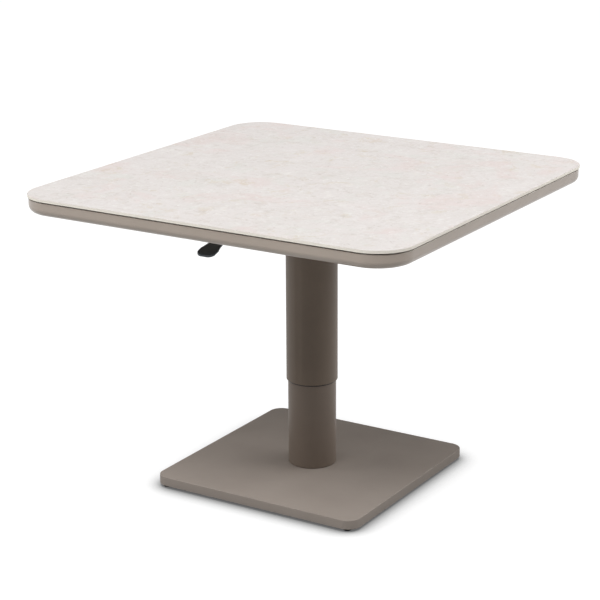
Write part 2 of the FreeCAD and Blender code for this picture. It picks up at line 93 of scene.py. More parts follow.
def colourByPattern(tree, shader, pattern, first, second, low=0.0, high=1.0):
    # the first colour where the pattern is below low and the second where it is above high
    share = addNode(tree, "ShaderNodeMapRange", {"From Min": low, "From Max": high}, {"Value": pattern})
    tone = addNode(tree, "ShaderNodeMix", {"data_type": "RGBA", mixFirst: hexColour(first),
                                           mixSecond: hexColour(second)}, {mixShare: share})
    tree.links.new(tone.outputs[mixColour], shader.inputs["Base Color"])
    return share


# finishes

def powderCoatedSteel(name, look):
    # Polyester powder, sprayed and baked on steel: a satin skin with a faint orange peel that softens every
    # reflection, and a tone that drifts a little where the film is thicker.
    # The peel is about 1 mm across; drawn at 2.5 mm so that it shows.
    film = {"driftApart": 90, "driftDetail": 4.0, "low": 0.35, "high": 0.65,
            "peelApart": 2.5, "peelDetail": 2.0, "peelHeight": 0.12 * mm}
    material, tree, shader, place = startMaterial(name, {"Roughness": look["roughness"], "IOR": look["ior"]})
    drift = addNode(tree, "ShaderNodeTexNoise", {"Scale": perMetre(film["driftApart"]),
                                                 "Detail": film["driftDetail"]}, {"Vector": place})
    colourByPattern(tree, shader, drift, look["thin"], look["thick"], film["low"], film["high"])
    peel = addNode(tree, "ShaderNodeTexNoise", {"Scale": perMetre(film["peelApart"]),
                                                "Detail": film["peelDetail"]}, {"Vector": place})
    bump = addNode(tree, "ShaderNodeBump", {"Strength": look["peel"], "Distance": film["peelHeight"]},
                   {"Height": peel})
    tree.links.new(bump.outputs[0], shader.inputs["Normal"])
    return material


def printedPorcelain():
    # Sintered porcelain slab with a limestone face printed under a matt glaze: cream, clouded with faint
    # pink and grey, finely mottled at every size, with short worn streaks and a few ochre stains.
    # The shift from one layer to the next keeps their clouds apart.
    face = {"ground": "#ECE6E3", "roughness": 0.62, "ior": 1.45, "shift": 1.7, "grainApart": 5,
            "grainDetail": 4.0, "bump": 0.1, "grainHeight": 0.1 * mm}
    layers = {
        "greyDrift": {"colour": "#DEDAD4", "apart": 150, "detail": 3.0, "rough": 0.6, "swirl": 0.0,
                      "low": 0.45, "high": 0.7, "most": 0.2},
        "greyMottling": {"colour": "#D6CEC7", "apart": 42, "detail": 5.0, "rough": 0.85, "swirl": 0.3,
                         "low": 0.48, "high": 0.68, "most": 0.5},
        "wornVeils": {"colour": "#F8F5F1", "apart": 30, "detail": 5.0, "rough": 0.85, "swirl": 0.5,
                      "low": 0.5, "high": 0.68, "most": 0.6},
        "pinkClouds": {"colour": "#EBD9D5", "apart": 120, "detail": 4.0, "rough": 0.6, "swirl": 0.6,
                       "low": 0.5, "high": 0.66, "most": 0.45},
        "coolClouds": {"colour": "#E6E5DF", "apart": 90, "detail": 4.0, "rough": 0.65, "swirl": 0.4,
                       "low": 0.52, "high": 0.68, "most": 0.5},
        "ochreStains": {"colour": "#D8CAB2", "apart": 55, "detail": 5.0, "rough": 0.76, "swirl": 0.8,
                        "low": 0.54, "high": 0.69, "most": 0.5},
        "finePitting": {"colour": "#BDB2A7", "apart": 14, "detail": 3.0, "rough": 0.7, "swirl": 0.8,
                        "low": 0.54, "high": 0.74, "most": 0.42},
        "paleFlecks": {"colour": "#FDFBF9", "apart": 9, "detail": 3.0, "rough": 0.7, "swirl": 0.5,
                       "low": 0.52, "high": 0.74, "most": 0.65},
    }
    material, tree, shader, place = startMaterial("printedPorcelain", {"Roughness": face["roughness"],
                                                                       "IOR": face["ior"]})
    under = None      # colour that the layers so far have built up
    for number, layer in enumerate(layers.values()):
        cloud = addNode(tree, "ShaderNodeTexNoise", {
            "noise_dimensions": "4D", "W": face["shift"] * number, "Scale": perMetre(layer["apart"]),
            "Detail": layer["detail"], "Roughness": layer["rough"], "Distortion": layer["swirl"],
        }, {"Vector": place})
        share = addNode(tree, "ShaderNodeMapRange", {
            "interpolation_type": "SMOOTHSTEP", "From Min": layer["low"], "From Max": layer["high"],
            "To Max": layer["most"],
        }, {"Value": cloud})
        mixed = addNode(tree, "ShaderNodeMix", {"data_type": "RGBA", mixFirst: hexColour(face["ground"]),
                                                mixSecond: hexColour(layer["colour"])}, {mixShare: share})
        if under is not None:
            tree.links.new(under, mixed.inputs[mixFirst])
        under = mixed.outputs[mixColour]
    tree.links.new(under, shader.inputs["Base Color"])
    grain = addNode(tree, "ShaderNodeTexNoise", {"Scale": perMetre(face["grainApart"]),
                                                 "Detail": face["grainDetail"]}, {"Vector": place})
    bump = addNode(tree, "ShaderNodeBump", {"Strength": face["bump"], "Distance": face["grainHeight"]},
                   {"Height": grain})
    tree.links.new(bump.outputs[0], shader.inputs["Normal"])
    return material


def unglazedPorcelain():
    # The slab's pressed back: biscuit-coloured and chalky, with the press belt's weave of 12 mm cells.
    back = {"thread": "#BDB4A8", "cell": "#CBC3B8", "roughness": 0.85, "ior": 1.5, "cellWidth": 12,
            "unevenness": 0.1, "low": 0.02, "high": 0.12, "bump": 0.3, "cellHeight": 0.3 * mm}
    material, tree, shader, place = startMaterial("unglazedPorcelain", {"Roughness": back["roughness"],
                                                                        "IOR": back["ior"]})
    cells = addNode(tree, "ShaderNodeTexVoronoi", {"feature": "DISTANCE_TO_EDGE",
                                                   "Scale": perMetre(back["cellWidth"]),
                                                   "Randomness": back["unevenness"]}, {"Vector": place})
    share = colourByPattern(tree, shader, cells, back["thread"], back["cell"], back["low"], back["high"])
    bump = addNode(tree, "ShaderNodeBump", {"Strength": back["bump"], "Distance": back["cellHeight"]},
                   {"Height": share})
    tree.links.new(bump.outputs[0], shader.inputs["Normal"])
    return material


def grainedFinish(name, look):
    # two tones over a fine grain, which also breaks up the gloss and the surface
    fine = {"detail": 4.0, "low": 0.35, "high": 0.65, "glossSpread": 0.15, "height": 0.1 * mm}
    material, tree, shader, place = startMaterial(name, look["surface"])
    grain = addNode(tree, "ShaderNodeTexNoise", {"Scale": perMetre(look["grain"]),
                                                 "Detail": fine["detail"]}, {"Vector": place})
    share = colourByPattern(tree, shader, grain, look["dark"], look["light"], fine["low"], fine["high"])
    gloss = addNode(tree, "ShaderNodeMapRange", {"To Min": look["roughness"] * (1 - fine["glossSpread"]),
                                                 "To Max": look["roughness"] * (1 + fine["glossSpread"])},
                    {"Value": share})
    tree.links.new(gloss.outputs[0], shader.inputs["Roughness"])
    bump = addNode(tree, "ShaderNodeBump", {"Strength": look["bump"], "Distance": fine["height"]},
                   {"Height": grain})
    tree.links.new(bump.outputs[0], shader.inputs["Normal"])
    return material


def turnedMetal(name, look):
    # Metal cut or ground on a lathe: fine rings round the axis, in the bump and as lighter and darker bands
    # of colour that paint the light they catch, painted highlights.
    # Feed marks are 0.1 to 0.2 mm apart; drawn at 1.6 mm so that they show.
    feed = {"apart": 1.58, "waver": 0.4, "detail": 2.0, "height": 0.02 * mm}
    wavePeriod = 2 * math.pi / 20      # metres between the bands of a Wave texture at scale 1
    material, tree, shader, place = startMaterial(name, {"Metallic": 1.0, "Roughness": look["roughness"]})
    rings = addNode(tree, "ShaderNodeTexWave", {"bands_direction": "Z",
                                                "Scale": perMetre(feed["apart"]) * wavePeriod,
                                                "Distortion": feed["waver"], "Detail": feed["detail"]},
                    {"Vector": place})
    colourByPattern(tree, shader, rings, look["dark"], look["light"])
    bump = addNode(tree, "ShaderNodeBump", {"Strength": look["bump"], "Distance": feed["height"]},
                   {"Height": rings})
    tree.links.new(bump.outputs[0], shader.inputs["Normal"])
    return material


metal = {"Metallic": 1.0}
dull = {"IOR": 1.5}
nylon = {"IOR": 1.53}
acetal = {"IOR": 1.48}
# the base's coat is the table's taupe paint itself; the frame's, the sleeve's and the inner tube's are that
# same paint drawn lighter or darker for how light falls on them
powderCoats = {
    # frame, bearers and head plate: the paint drawn lighter than the base's, painted light
    "framePowderCoatPaintedLight": {"thin": "#B0A397", "thick": "#B4A79B", "roughness": 0.28, "ior": 1.5, "peel": 0.12},
    "basePowderCoat": {"thin": "#998F87", "thick": "#9D938B", "roughness": 0.7, "ior": 1.35, "peel": 0.12},
    # column sleeve: the paint drawn much darker, painted shade for the shade under the top
    "columnPowderCoatPaintedShade": {"thin": "#706255", "thick": "#746659", "roughness": 0.5, "ior": 1.4, "peel": 0.1},
    # inner tube: the paint drawn darker too, a little less than the sleeve, painted shade
    "innerTubePowderCoatPaintedShade": {"thin": "#776A5F", "thick": "#7B6E63", "roughness": 0.5, "ior": 1.4, "peel": 0.1},
    "blackPowderCoat": {"thin": "#1A1A1A", "thick": "#202020", "roughness": 0.5, "ior": 1.5, "peel": 0.2},
}
grainedLooks = {
    # the slab's body where a diamond wheel has cut it: even, cream and matt, with the bare arris a shade
    # darker; wheel grit leaves marks of 0.1 mm, drawn at 1.5 mm. The ground edge is drawn near white, lighter
    # than the glazed face, so that the upright edge shows as bright as the lit top: partly the body's own
    # cream, partly painted light
    "groundPorcelainPaintedLight": {"surface": dull, "dark": "#FAF3E6", "light": "#FFFAEF", "grain": 1.5,
                        "roughness": 0.7, "bump": 0.1},
    "easedPorcelain": {"surface": dull, "dark": "#DDD5CC", "light": "#E7E0D7", "grain": 1.5,
                       "roughness": 0.75, "bump": 0.1},
    # glass-filled nylon from a spark-eroded mould: satin black, drawn as a blue-grey with a lighter cool tone
    # on the grain's high spots, a painted cool sheen; real grain is 0.2 mm, drawn at 0.8 mm
    "mouldedNylon": {"surface": nylon, "dark": "#2F363B", "light": "#3E464C", "grain": 0.8,
                     "roughness": 0.42, "bump": 0.15},
    # zinc electroplate, tumbled: pale grey, soft shine, slightly blotchy
    "zincPlatedSteel": {"surface": metal, "dark": "#B0B1AE", "light": "#C8C7C0", "grain": 4,
                        "roughness": 0.36, "bump": 0.05},
    # pressure die casting, shot-blasted: flat grey with a sandy skin
    "dieCastAluminium": {"surface": metal, "dark": "#8B8C8D", "light": "#A3A4A5", "grain": 1.5,
                         "roughness": 0.5, "bump": 0.3},
    # moulded rubber: dull black, dusty in the pores
    "mouldedRubber": {"surface": dull, "dark": "#090909", "light": "#151515", "grain": 1.5,
                      "roughness": 0.7, "bump": 0.25},
    # closed-cell foam tape: open pores on the cut side, no shine
    "closedCellFoam": {"surface": dull, "dark": "#191715", "light": "#282522", "grain": 1.2,
                       "roughness": 0.9, "bump": 0.5},
    # moulded acetal bearing rings: waxy black
    "mouldedAcetal": {"surface": acetal, "dark": "#131313", "light": "#1B1B1B", "grain": 2,
                      "roughness": 0.42, "bump": 0.08},
}
turnedLooks = {
    # steel rod, hard chromed and ground: a cool bright mirror with the faintest rings
    "hardChromedSteel": {"dark": "#CFCFD2", "light": "#DADADD", "roughness": 0.12, "bump": 0.05},
    # free-cutting brass as it leaves the lathe: yellow, with rings that show
    "turnedBrass": {"dark": "#B59655", "light": "#C9AB6B", "roughness": 0.28, "bump": 0.2},
}
finishes = {"printedPorcelain": printedPorcelain(), "unglazedPorcelain": unglazedPorcelain()}
for makeFinish, looks in ((powderCoatedSteel, powderCoats), (grainedFinish, grainedLooks),
                          (turnedMetal, turnedLooks)):
    for name, look in looks.items():
        finishes[name] = makeFinish(name, look)
print(len(finishes), "finishes made")


# mesh building

def roundedRectangle(halfX, halfY, radius, steps):
    # outline points, anticlockwise, with the same count for any size; a corner is never quite sharp
    radius = max(radius, 0.01 * mm)
    points = []
    for turn, (sideX, sideY) in enumerate(((1, 1), (-1, 1), (-1, -1), (1, -1))):
        for step in range(steps + 1):
            angle = math.radians(90 * turn + 90 * step / steps)
            points.append((sideX * (halfX - radius) + radius * math.cos(angle),
                           sideY * (halfY - radius) + radius * math.sin(angle)))
    return points


def circle(radius, steps):
    return [(radius * math.cos(2 * math.pi * n / steps), radius * math.sin(2 * math.pi * n / steps))
            for n in range(steps)]


def arc(radius, fromAngle, toAngle, steps):
    # points of an arc round the origin, angles in degrees
    angles = [math.radians(fromAngle + (toAngle - fromAngle) * n / steps) for n in range(steps + 1)]
    return [(radius * math.cos(a), radius * math.sin(a)) for a in angles]


def skin(work, rings, joined):
    # faces between neighbouring rings; joined closes the last ring to the first, and without it both ends
    # get a cap
    rows = [[work.verts.new(point) for point in ring] for ring in rings]
    pairs = list(zip(rows, rows[1:])) + ([(rows[-1], rows[0])] if joined else [])
    count = len(rows[0])
    for low, high in pairs:
        for n in range(count):
            work.faces.new((low[n], low[(n + 1) % count], high[(n + 1) % count], high[n]))
    if not joined:
        work.faces.new(rows[0][::-1])
        work.faces.new(rows[-1])


def finishPiece(name, work, body, finish, replaced=(), sharp=35):
    # sharp is the angle in degrees from which an edge stays an edge
    bmesh.ops.recalc_face_normals(work, faces=work.faces)
    mesh = bpy.data.meshes.new(name)
    work.to_mesh(mesh)
    work.free()
    piece = bpy.data.objects.new(name, mesh)
    bpy.context.scene.collection.objects.link(piece)
    mesh.shade_smooth()
    mesh.set_sharp_from_angle(angle=math.radians(sharp))
    mesh.materials.append(finishes[finish])
    normals = piece.modifiers.new("flatFacesStayFlat", "WEIGHTED_NORMAL")
    normals.keep_sharp = True
    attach(piece, body)
    if replaced:
        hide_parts(*replaced)
    return piece


def sweptSquare(work, half, cornerRadius, profile, joined):
    # profile holds (inset from the outer face, height)
    rings = []
    for inset, height in profile:
        outline = roundedRectangle(half - inset, half - inset, cornerRadius - inset, steps=24)
        rings.append([(x, y, height) for x, y in outline])
    skin(work, rings, joined)


def lathe(work, profile, steps, joined, x=0.0, y=0.0):
    # profile holds (radius, height)
    rings = [[(x + px, y + py, height) for px, py in circle(radius, steps)] for radius, height in profile]
    skin(work, rings, joined)


def hexBolt(work, x, y, seat, acrossFlats, head, shankRadius, shankEnd):
    # the head hangs below its seat, and its free edge has the turned chamfer
    cut = {"steps": 48, "chamferStart": 0.475, "chamferAngle": 30}
    steps = cut["steps"]
    start = cut["chamferStart"] * acrossFlats
    rise = math.tan(math.radians(cut["chamferAngle"]))
    turns = circle(1.0, steps)
    hexagon = []
    for n in range(steps):
        fromFlat = (2 * math.pi * n / steps) % (math.pi / 3) - math.pi / 6
        hexagon.append(acrossFlats / 2 / math.cos(fromFlat))

    def ring(radii, heights):
        return [(x + r * c, y + r * s, z) for r, z, (c, s) in zip(radii, heights, turns)]

    chamfer = [seat - head + (r - start) * rise for r in hexagon]
    rings = [ring([start] * steps, [seat - head] * steps),
             ring(hexagon, chamfer),
             ring(hexagon, [seat] * steps),
             ring([shankRadius] * steps, [seat] * steps),
             ring([shankRadius] * steps, [shankEnd] * steps)]
    skin(work, rings, joined=False)


# table top

def makeSlab():
    # glazed face, an eased arris that cuts through the glaze, a ground edge and the raw pressed back
    shape = {"cornerRadius": 80 * mm, "arrisIn": 0.6 * mm, "arrisDown": 1.1 * mm, "lowerArris": 0.4 * mm}
    low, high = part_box("slab")
    lower, across, down = shape["lowerArris"], shape["arrisIn"], shape["arrisDown"]
    profile = [(lower - px, low.z + lower + pz) for px, pz in arc(lower, -90, 0, steps=5)]
    profile += [(0.0, high.z - down), (across, high.z)]
    work = bmesh.new()
    sweptSquare(work, high.x, shape["cornerRadius"], profile, joined=False)
    slab = finishPiece("stoneSlab", work, "top", "printedPorcelain", ["slab"], sharp=15)
    for finish in ("unglazedPorcelain", "groundPorcelainPaintedLight", "easedPorcelain"):
        slab.data.materials.append(finishes[finish])
    glazed, pressed, ground, eased = range(4)      # material slots, told apart by how far a face looks up
    for face in slab.data.polygons:
        upward = face.normal.z
        face.material_index = (glazed if upward > 0.99 else eased if upward > 0.1
                               else ground if upward > -0.9 else pressed)


def makeFrame():
    # rolled steel section: flat on top for the slab's tape, round below, its inner edge turned up in a lip
    shape = {"cornerRadius": 78 * mm, "wall": 2 * mm, "width": 24 * mm, "lowerRound": 15 * mm,
             "upperRound": 1.5 * mm, "lip": 7.5 * mm}
    low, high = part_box("edge_frame")
    wall, width, big, small = shape["wall"], shape["width"], shape["lowerRound"], shape["upperRound"]
    profile = [(small - px, high.z - small + pz) for px, pz in arc(small, 90, 0, steps=4)]
    profile += [(big - px, low.z + big + pz) for px, pz in arc(big, 0, -90, steps=16)]
    profile += [(width, low.z), (width, low.z + shape["lip"]), (width - wall, low.z + shape["lip"]),
                (width - wall, low.z + wall)]
    profile += [(big - px, low.z + big + pz) for px, pz in arc(big - wall, -90, 0, steps=10)]
    profile += [(wall, high.z - wall), (width, high.z - wall), (width, high.z)]
    work = bmesh.new()
    sweptSquare(work, high.x, shape["cornerRadius"], profile, joined=True)
    finishPiece("edgeFrame", work, "top", "framePowderCoatPaintedLight", ["edge_frame"])


def makeBearers():
    # rectangular tubes across the frame, open at their ends
    shape = {"cornerRadius": 3 * mm, "wall": 2 * mm}
    wall, radius = shape["wall"], shape["cornerRadius"]
    for name, node in (("bearerFront", "front_bearer"), ("bearerRear", "rear_bearer")):
        low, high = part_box(node)
        middle, half = (low + high) / 2, (high - low) / 2
        outer = roundedRectangle(half.y, half.z, radius, steps=5)
        inner = roundedRectangle(half.y - wall, half.z - wall, radius - wall, steps=5)
        rings = [[(end, middle.y + y, middle.z + z) for y, z in outline]
                 for end, outline in ((low.x, outer), (high.x, outer), (high.x, inner), (low.x, inner))]
        work = bmesh.new()
        skin(work, rings, joined=True)
        finishPiece(name, work, "top", "framePowderCoatPaintedLight", [node])


def makeHeadBolts():
    bolt = {"acrossFlats": 13 * mm, "head": 5.3 * mm, "shank": 4 * mm,
            "spacingX": 140 * mm, "spacingY": 240 * mm}
    low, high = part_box("head_bolts")
    work = bmesh.new()
    for sideX in (-1, 1):
        for sideY in (-1, 1):
            hexBolt(work, sideX * bolt["spacingX"] / 2, sideY * bolt["spacingY"] / 2, low.z + bolt["head"],
                    bolt["acrossFlats"], bolt["head"], bolt["shank"], high.z)
    finishPiece("headBolts", work, "top", "zincPlatedSteel", ["head_bolts"], sharp=20)


# column

def makeInnerTube():
    # turned down at the foot, which leaves a fine shadow line on the base
    shape = {"wall": 2 * mm, "rim": 0.3 * mm, "footStep": 1.5 * mm, "footHeight": 1.6 * mm}
    low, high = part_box("inner_tube")
    radius, rim, foot = high.x, shape["rim"], low.z + shape["footHeight"]
    bore = radius - shape["wall"]
    neck = radius - shape["footStep"]
    profile = [(bore, low.z), (neck, low.z), (neck, foot), (radius - rim, foot), (radius, foot + rim),
               (radius, high.z - rim), (radius - rim, high.z), (bore, high.z)]
    work = bmesh.new()
    lathe(work, profile, steps=160, joined=True)
    finishPiece("innerTube", work, "base", "innerTubePowderCoatPaintedShade", ["inner_tube"])


def makeOuterTube():
    # rolled lower rim, and the lever's slot cut through the front wall near the top
    shape = {"radius": 56.5 * mm, "wall": 1.5 * mm, "rim": 0.7 * mm, "slotWidth": 14 * mm,
             "slotLow": 604 * mm, "slotHigh": 632 * mm, "steps": 156}
    low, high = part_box("outer_tube")
    radius, rim, steps = shape["radius"], shape["rim"], shape["steps"]
    bore = radius - shape["wall"]
    half = math.asin(shape["slotWidth"] / 2 / radius)
    front = -math.pi / 2
    angles = [front - half, front + half]      # the slot lies between the first two
    angles += [front + half + (2 * math.pi - 2 * half) * n / steps for n in range(1, steps)]
    outside = [(radius - rim + px, low.z + rim + pz) for px, pz in arc(rim, -90, 0, steps=5)]
    outside += [(radius, shape["slotLow"]), (radius, shape["slotHigh"]), (radius, high.z)]
    inside = [(bore, high.z), (bore, shape["slotHigh"]), (bore, shape["slotLow"]), (bore, low.z)]
    work = bmesh.new()
    rows = [[work.verts.new((r * math.cos(a), r * math.sin(a), z)) for a in angles]
            for r, z in outside + inside]
    cutOut, cutIn = len(outside) - 3, len(outside) + 1      # rows from which the slot's faces are left out
    for n, row in enumerate(rows):
        above = rows[(n + 1) % len(rows)]
        for k in range(len(angles)):
            after = (k + 1) % len(angles)
            if not (k == 0 and n in (cutOut, cutIn)):
                work.faces.new((row[k], row[after], above[after], above[k]))
    for k in (0, 1):      # side walls of the slot
        work.faces.new((rows[cutOut][k], rows[cutOut + 1][k], rows[cutIn][k], rows[cutIn + 1][k]))
    for n in (0, 1):      # floor and roof of the slot
        outer, inner = rows[cutOut + n], rows[cutIn + 1 - n]
        work.faces.new((outer[0], outer[1], inner[1], inner[0]))
    finishPiece("outerTube", work, "top", "columnPowderCoatPaintedShade", ["outer_tube"])


def makeGuideLipShadowLine():
    # the lower guide's lip closes the gap under the sleeve; its black band below the rim is a painted shadow,
    # standing for the shade under the sleeve's rim
    lip = {"inner": 53.15 * mm, "outer": 55.7 * mm, "height": 2.7 * mm}
    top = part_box("outer_tube")[0].z
    width = lip["outer"] - lip["inner"]
    profile = [(lip["inner"] + width * px, top + lip["height"] * pz)
               for px, pz in arc(1.0, -90, 0, steps=8)]
    profile += [(lip["inner"], top)]
    work = bmesh.new()
    lathe(work, profile, steps=160, joined=True)
    finishPiece("guideLipShadowLine", work, "top", "mouldedAcetal")


def makeColumnWeld():
    # rippled fillet weld between the head plate and the outer tube
    bead = {"size": 2.6 * mm, "hollow": 0.62, "sunk": 0.2 * mm, "ripple": 0.25 * mm, "pitch": 3.5 * mm,
            "pointsPerRipple": 6}
    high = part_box("outer_tube")[1]
    radius, size, sunk, points = high.x, bead["size"], bead["sunk"], bead["pointsPerRipple"]
    steps = points * int(2 * math.pi * radius / bead["pitch"])
    section = [(-sunk, 0.0), (size, 0.0), (bead["hollow"] * size, bead["hollow"] * size), (-sunk, size)]
    rings = []
    for out, down in section:
        ring = []
        for n in range(steps):
            angle = 2 * math.pi * n / steps
            swell = 1 + bead["ripple"] / size * math.sin(2 * math.pi * n / points)
            reach = radius + (out * swell if out > 0 else out)
            ring.append((reach * math.cos(angle), reach * math.sin(angle), high.z - down * swell))
        rings.append(ring)
    work = bmesh.new()
    skin(work, rings, joined=True)
    finishPiece("columnWeld", work, "top", "columnPowderCoatPaintedShade", sharp=80)


# release lever

def makePaddle():
    # a blade that widens to a rounded tip, dished for the fingers, and the socket that the arm is
    # riveted into
    shape = {"neckWidth": 22 * mm, "width": 42 * mm, "tipRound": 14 * mm, "rootY": -345 * mm,
             "rootThickness": 7 * mm, "tipThickness": 5 * mm, "droop": 1.6 * mm, "edgeRound": 2.2 * mm,
             "dish": 0.6 * mm, "dishRun": 1.1, "rivetToMiddle": 3.5 * mm, "across": 36, "along": 40,
             "weldPoints": 0.002 * mm}
    socket = {"width": 17 * mm, "height": 15 * mm, "frontY": -349 * mm, "round": 2.5 * mm, "roundSteps": 4}
    low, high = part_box("lever_paddle")
    tipY, rootY = low.y, shape["rootY"]
    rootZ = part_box("paddle_rivets")[0].z + shape["rivetToMiddle"]
    tipZ = low.z + shape["tipThickness"] / 2
    length = rootY - tipY
    halfTip, radius, edgeRound = shape["width"] / 2, shape["tipRound"], shape["edgeRound"]
    across, along = shape["across"], shape["along"]

    def blade(sideways, lengthways, face):
        # sideways runs from -1 to 1, lengthways from 0 at the root to 1 at the tip, and face is 1 on top
        # and -1 below
        share = min(1.0, lengthways * length / (length - radius))
        half = shape["neckWidth"] / 2 + (shape["width"] - shape["neckWidth"]) / 2 * share
        x = sideways * half
        beyond = max(abs(x) - (halfTip - radius), 0.0)
        endY = tipY + radius - math.sqrt(max(radius ** 2 - beyond ** 2, 0.0))
        y = rootY + lengthways * (endY - rootY)
        t = (rootY - y) / length
        thick = shape["rootThickness"] + (shape["tipThickness"] - shape["rootThickness"]) * t
        middle = rootZ + (tipZ - rootZ) * t + shape["droop"] * 4 * t * (1 - t)
        edge = min(half - abs(x), y - endY) / edgeRound
        roundness = math.sqrt(max(1 - (1 - min(edge, 1.0)) ** 2, 0.0))
        level = thick / 2 - edgeRound * (1 - roundness)
        run = math.sin(math.pi * min(t * shape["dishRun"], 1.0))
        dish = shape["dish"] * (1 - sideways ** 2) * run if face > 0 else 0.0
        return (x, y, middle + face * level - dish)

    work = bmesh.new()
    sides = [math.sin(math.pi / 2 * (2 * n / across - 1)) for n in range(across + 1)]
    reaches = [math.sin(math.pi / 2 * n / along) for n in range(along + 1)]
    sheets = {face: [[work.verts.new(blade(u, v, face)) for u in sides] for v in reaches]
              for face in (1, -1)}
    for rows in sheets.values():
        for near, far in zip(rows, rows[1:]):
            for n in range(across):
                work.faces.new((near[n], near[n + 1], far[n + 1], far[n]))
    rims = []
    for rows in sheets.values():
        right = [row[-1] for row in rows[1:-1]]
        left = [row[0] for row in rows[-2:0:-1]]
        rims.append(rows[0] + right + rows[-1][::-1] + left)
    upper, under = rims
    count = len(upper)
    for n in range(count):
        after = (n + 1) % count
        work.faces.new((upper[n], upper[after], under[after], under[n]))
    bmesh.ops.remove_doubles(work, verts=work.verts, dist=shape["weldPoints"])

    corners = bmesh.ops.create_cube(work, size=1.0)["verts"]      # becomes the rounded socket
    size = Vector((socket["width"], high.y - socket["frontY"], socket["height"]))
    centre = Vector((0, (high.y + socket["frontY"]) / 2, rootZ))
    for vertex in corners:
        vertex.co = centre + Vector(a * b for a, b in zip(vertex.co, size))
    edges = list(dict.fromkeys(edge for vertex in corners for edge in vertex.link_edges))
    bmesh.ops.bevel(work, geom=edges, offset=socket["round"], segments=socket["roundSteps"], profile=0.5,
                    affect="EDGES")
    paddle = finishPiece("leverPaddle", work, "lever", "mouldedNylon", ["lever_paddle"], sharp=50)


# base

def makeBaseCover():
    # pressed steel cover over the ballast plate, open below
    shape = {"cornerRadius": 30 * mm, "wall": 2 * mm, "topRound": 1.5 * mm, "rimRound": 0.5 * mm}
    low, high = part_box("base_cover")
    wall, top, rim = shape["wall"], shape["topRound"], shape["rimRound"]
    profile = [(wall, high.z - wall), (wall, low.z), (rim, low.z), (0.0, low.z + rim)]
    profile += [(top - px, high.z - top + pz) for px, pz in arc(top, 0, 90, steps=6)]
    work = bmesh.new()
    sweptSquare(work, high.x, shape["cornerRadius"], profile, joined=False)
    finishPiece("baseCover", work, "base", "basePowderCoat", ["base_cover"])


def makeFeet():
    # moulded rubber pads with two grip grooves, on rolled-thread studs
    pad = {"bottomRound": 0.8 * mm, "grooves": (2.0 * mm, 3.6 * mm), "grooveDepth": 0.5 * mm,
           "grooveWidth": 1.1 * mm, "grooveSlope": 0.3 * mm, "topChamfer": 1.5 * mm, "studFloor": 3 * mm}
    stud = {"radius": 3.95 * mm, "pitch": 1.25 * mm, "threadDepth": 0.55 * mm}
    width, slope, chamfer = pad["grooveWidth"], pad["grooveSlope"], pad["topChamfer"]
    core = stud["radius"] - stud["threadDepth"]
    for corner in ("front_left", "front_right", "back_left", "back_right"):
        low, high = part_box("foot_pad_" + corner)
        x, y = (low.x + high.x) / 2, (low.y + high.y) / 2
        radius = (high.x - low.x) / 2
        neck = radius - pad["grooveDepth"]
        profile = [(radius - pad["bottomRound"], 0.0), (radius, pad["bottomRound"])]
        for level in pad["grooves"]:
            profile += [(radius, level), (neck, level + slope), (neck, level + width - slope),
                        (radius, level + width)]
        profile += [(radius, high.z - chamfer), (radius - chamfer, high.z), (stud["radius"], high.z),
                    (stud["radius"], pad["studFloor"])]
        work = bmesh.new()
        lathe(work, profile, steps=48, joined=False, x=x, y=y)
        piece = finishPiece("footPad." + corner, work, "base", "mouldedRubber", ["foot_pad_" + corner],
                            sharp=30)

        low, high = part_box("foot_stud_" + corner)
        profile = []
        for turn in range(int((high.z - low.z) / stud["pitch"])):
            level = low.z + turn * stud["pitch"]
            profile += [(core, level), (stud["radius"], level + stud["pitch"] / 2)]
        profile += [(core, high.z)]
        work = bmesh.new()
        lathe(work, profile, steps=24, joined=False, x=x, y=y)
        piece = finishPiece("footStud." + corner, work, "base", "zincPlatedSteel", ["foot_stud_" + corner],
                            sharp=50)


def makeBaseBolts():
    # four bolts up into the flange, and the nut on the gas spring's stud
    bolt = {"acrossFlats": 16 * mm, "head": 6.4 * mm, "shank": 5 * mm, "circle": 35 * mm, "count": 4,
            "firstAngle": 45}
    nut = {"acrossFlats": 18 * mm, "height": 7 * mm, "stud": 6 * mm, "studAbove": 0.5 * mm}
    low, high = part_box("base_bolts")
    work = bmesh.new()
    for n in range(bolt["count"]):
        angle = math.radians(bolt["firstAngle"] + 360 / bolt["count"] * n)
        hexBolt(work, bolt["circle"] * math.cos(angle), bolt["circle"] * math.sin(angle),
                low.z + bolt["head"], bolt["acrossFlats"], bolt["head"], bolt["shank"], high.z)
    finishPiece("baseBolts", work, "base", "zincPlatedSteel", ["base_bolts"], sharp=20)
    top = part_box("stud_nut")[1].z
    work = bmesh.new()
    hexBolt(work, 0.0, 0.0, top, nut["acrossFlats"], nut["height"], nut["stud"], top + nut["studAbove"])
    finishPiece("studNut", work, "base", "zincPlatedSteel", ["stud_nut"], sharp=20)


makeSlab()
makeFrame()
makeBearers()
makeHeadBolts()
print("top made")
makeInnerTube()
makeOuterTube()
makeGuideLipShadowLine()
makeColumnWeld()
makePaddle()
print("column and lever made")
makeBaseCover()
makeFeet()
makeBaseBolts()
print("base made")

